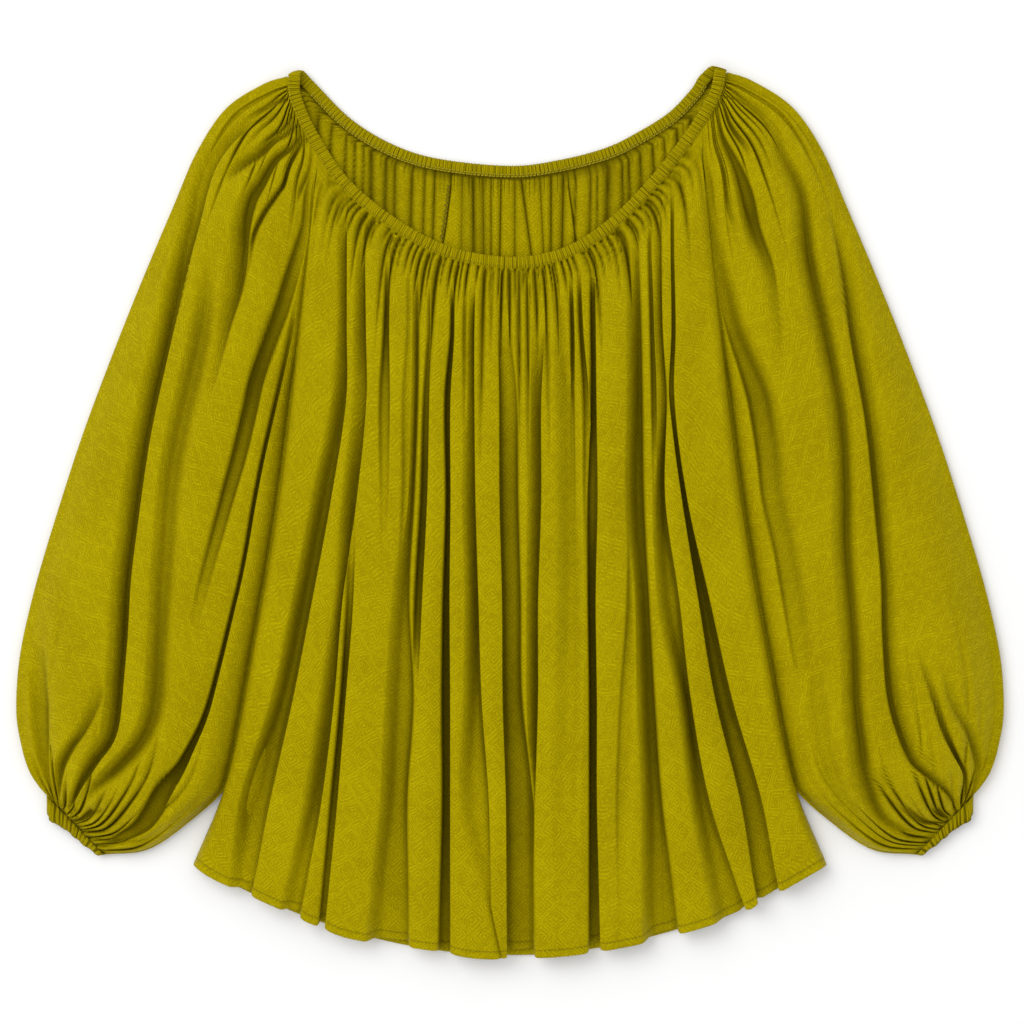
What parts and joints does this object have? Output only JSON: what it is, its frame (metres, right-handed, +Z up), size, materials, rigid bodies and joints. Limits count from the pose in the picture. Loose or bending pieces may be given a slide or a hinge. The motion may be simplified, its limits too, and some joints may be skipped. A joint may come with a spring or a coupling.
{
  "type": "peasant blouse",
  "caption": "Peasant blouse laid flat: gathered elastic neck, raglan balloon sleeves with gathered wrists, full A-line body.",
  "frame": {"origin": "on the surface that the blouse lies on, under the middle of its outline", "axes": "+Z up off the surface, +Y towards the neck, +X to the viewer's right, across the garment"},
  "size_m": [0.792, 0.7138, 0.029],
  "materials": {
    "blouse_cloth": "soft satin jacquard",
    "gathered_casing": "ruched elastic casing"
  },
  "bodies": {
    "root": {"front_panel": "blouse_cloth", "back_panel": "blouse_cloth", "sleeve_left": "blouse_cloth", "sleeve_right": "blouse_cloth", "neck_casing": "gathered_casing", "cuff_left": "gathered_casing", "cuff_right": "gathered_casing"}
  },
  "joints": []
}
